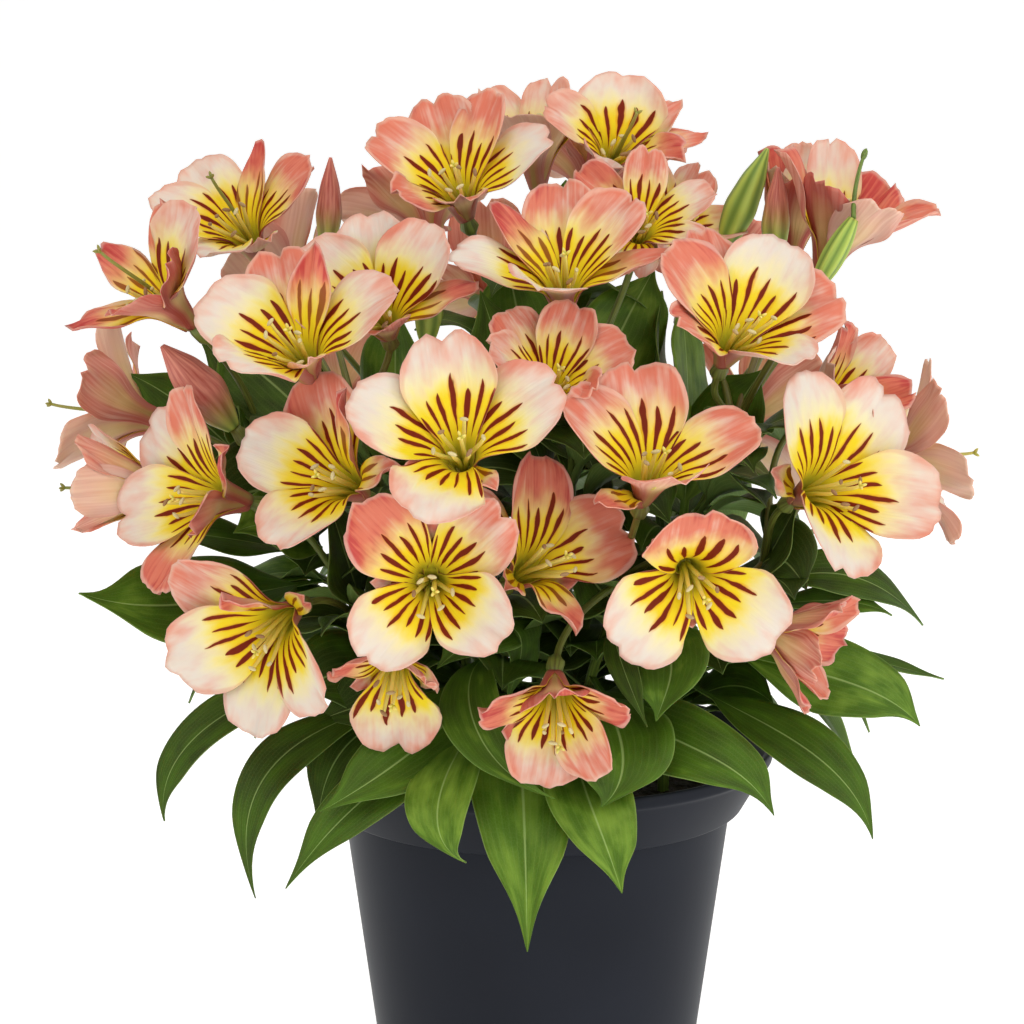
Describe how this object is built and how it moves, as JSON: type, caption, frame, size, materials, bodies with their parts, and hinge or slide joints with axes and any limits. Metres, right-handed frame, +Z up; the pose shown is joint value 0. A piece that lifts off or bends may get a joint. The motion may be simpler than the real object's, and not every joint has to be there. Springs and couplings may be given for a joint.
{
  "type": "potted peruvian lily",
  "caption": "Flowering Peruvian lily in a round nursery pot: leafy stems rise from the compost and carry a dome of open, streaked blooms and a few buds.",
  "frame": {"origin": "the middle of the pot's flat base, on the surface that it stands on", "axes": "+Z up along the pot's axis; -Y towards the front of the plant, which the picture shows; +X to the right"},
  "size_m": [0.317, 0.298, 0.4011],
  "materials": {
    "pot": "satin injection-moulded polypropylene, anthracite",
    "soil": "moist peat and bark compost, crumbly",
    "greenery": "living leaf and stem, soft satin",
    "tepals": "living tepal, blush to cream with a yellow throat and dark red streaks",
    "buds": "closed living bud, rose with green ribs"
  },
  "bodies": {
    "root": {"pot": "pot", "soil": "soil", "stem_back_left": "greenery", "stem_back_middle": "greenery", "stem_back_right": "greenery", "stem_front_centre": "greenery", "stem_front_left": "greenery", "stem_front_right": "greenery", "stem_left": "greenery", "stem_right": "greenery", "stem_top": "greenery", "stem_upper_left": "greenery", "stem_upper_middle": "greenery", "stem_upper_right": "greenery", "bloom_back_left_high": "tepals", "bloom_back_left_low": "tepals", "bloom_back_left_side": "tepals", "bloom_back_middle": "tepals", "bloom_back_middle_high": "tepals", "bloom_back_middle_low": "tepals", "bloom_back_right_low": "tepals", "bloom_back_right_side": "tepals", "bloom_centre": "tepals", "bloom_left_centre": "tepals", "bloom_left_low": "tepals", "bloom_left_middle": "tepals", "bloom_left_side_lower": "tepals", "bloom_left_side_upper": "tepals", "bloom_left_top_side": "tepals", "bloom_left_upper": "tepals", "bloom_low_left_small": "tepals", "bloom_lower_centre": "tepals", "bloom_lower_right_centre": "tepals", "bloom_middle": "tepals", "bloom_middle_right": "tepals", "bloom_nodding": "tepals", "bloom_right_behind": "tepals", "bloom_right_big": "tepals", "bloom_right_low": "tepals", "bloom_right_low_behind": "tepals", "bloom_right_shoulder": "tepals", "bloom_right_upper": "tepals", "bloom_top_left": "tepals", "bloom_top_middle": "tepals", "bloom_top_right": "tepals", "bloom_trumpet_back": "tepals", "bloom_trumpet_front": "tepals", "bloom_upper_behind": "tepals", "bloom_upper_left_centre": "tepals", "bloom_upper_left_front": "tepals", "bloom_upper_middle": "tepals", "bloom_upper_right_behind": "tepals", "bud_back_right": "buds", "bud_left_red": "buds", "bud_middle_small": "buds", "bud_right_low": "buds", "bud_upper_left_brown": "buds", "bud_upper_left_inner": "buds", "bud_upper_right_green": "buds", "bud_upper_right_pink": "buds"}
  },
  "joints": []
}
